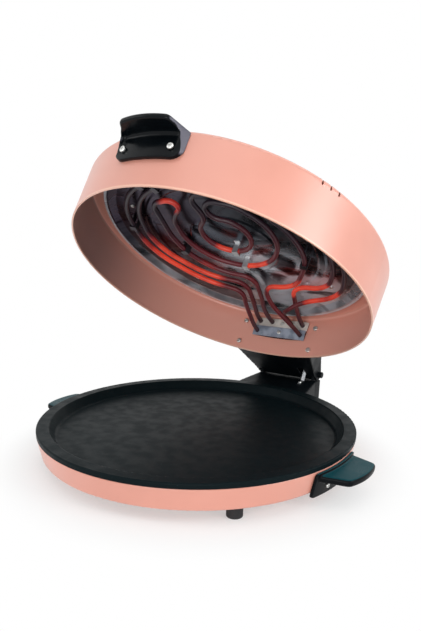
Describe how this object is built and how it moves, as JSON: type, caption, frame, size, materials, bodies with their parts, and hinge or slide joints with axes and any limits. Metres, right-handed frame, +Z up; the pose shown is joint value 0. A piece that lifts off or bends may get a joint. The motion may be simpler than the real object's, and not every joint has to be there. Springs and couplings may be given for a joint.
{
  "type": "electric flatbread maker",
  "caption": "Electric flatbread maker: round steel base with a dark baking pan, under a deep hinged lid with exposed heating elements",
  "frame": {"origin": "centre of the whole object's footprint on the table, at the height of the feet's soles; the pan's axis is at Y = -38.5 mm", "axes": "+X to the right side handle, -Y to the front with the lid's handle, +Y to the hinge, +Z up"},
  "size_m": [0.4932, 0.497, 0.4053],
  "materials": {
    "rose_paint": "satin",
    "dark_coating": "satin",
    "black_plastic": "satin",
    "black_rubber": "matte",
    "bright_steel": "satin",
    "plated_steel": "satin",
    "reflector_sheet": "satin",
    "element_tube": "matte",
    "pale_ceramic": "matte",
    "wire_sleeve": "matte"
  },
  "bodies": {
    "base": {"base_shell": "rose_paint", "base_bottom_plate": "plated_steel", "bottom_plate_screws": "bright_steel", "feet": "black_rubber", "foot_screws": "bright_steel", "baking_pan": "dark_coating", "pan_studs": "bright_steel", "pan_nuts": "bright_steel", "lower_reflector": "reflector_sheet", "lower_element": "element_tube", "lower_element_clips": "bright_steel", "thermostat": "plated_steel", "terminal_block": "pale_ceramic", "cable_gland": "black_plastic", "base_wires": "wire_sleeve", "right_side_handle": "black_plastic", "left_side_handle": "black_plastic", "side_handle_screws": "bright_steel", "base_hinge_bracket": "black_plastic", "base_hinge_screws": "bright_steel", "hinge_pin": "bright_steel", "hinge_pin_caps": "black_plastic", "friction_leaf": "bright_steel", "leaf_screw": "bright_steel"},
    "lid": {"lid_shell": "rose_paint", "lid_reflector": "reflector_sheet", "reflector_bosses": "plated_steel", "reflector_screws": "bright_steel", "upper_element_outer": "element_tube", "upper_element_middle": "element_tube", "upper_element_inner": "element_tube", "upper_element_clips": "bright_steel", "terminal_plate_upper": "plated_steel", "terminal_plate_lower": "plated_steel", "terminal_plate_screws": "bright_steel", "lid_hinge_bracket": "black_plastic", "lid_hinge_screws": "bright_steel", "element_terminals": "pale_ceramic", "lid_wires": "wire_sleeve", "lid_handle": "black_plastic", "lid_handle_screws": "bright_steel", "lid_handle_nuts": "bright_steel"}
  },
  "joints": [
    {"name": "lid_hinge", "type": "hinge", "parent": "base", "child": "lid", "pos_m": [0, 0.2375, 0.0611], "axis": [-1, 0, 0], "range_deg": [-36, 49]}
  ]
}
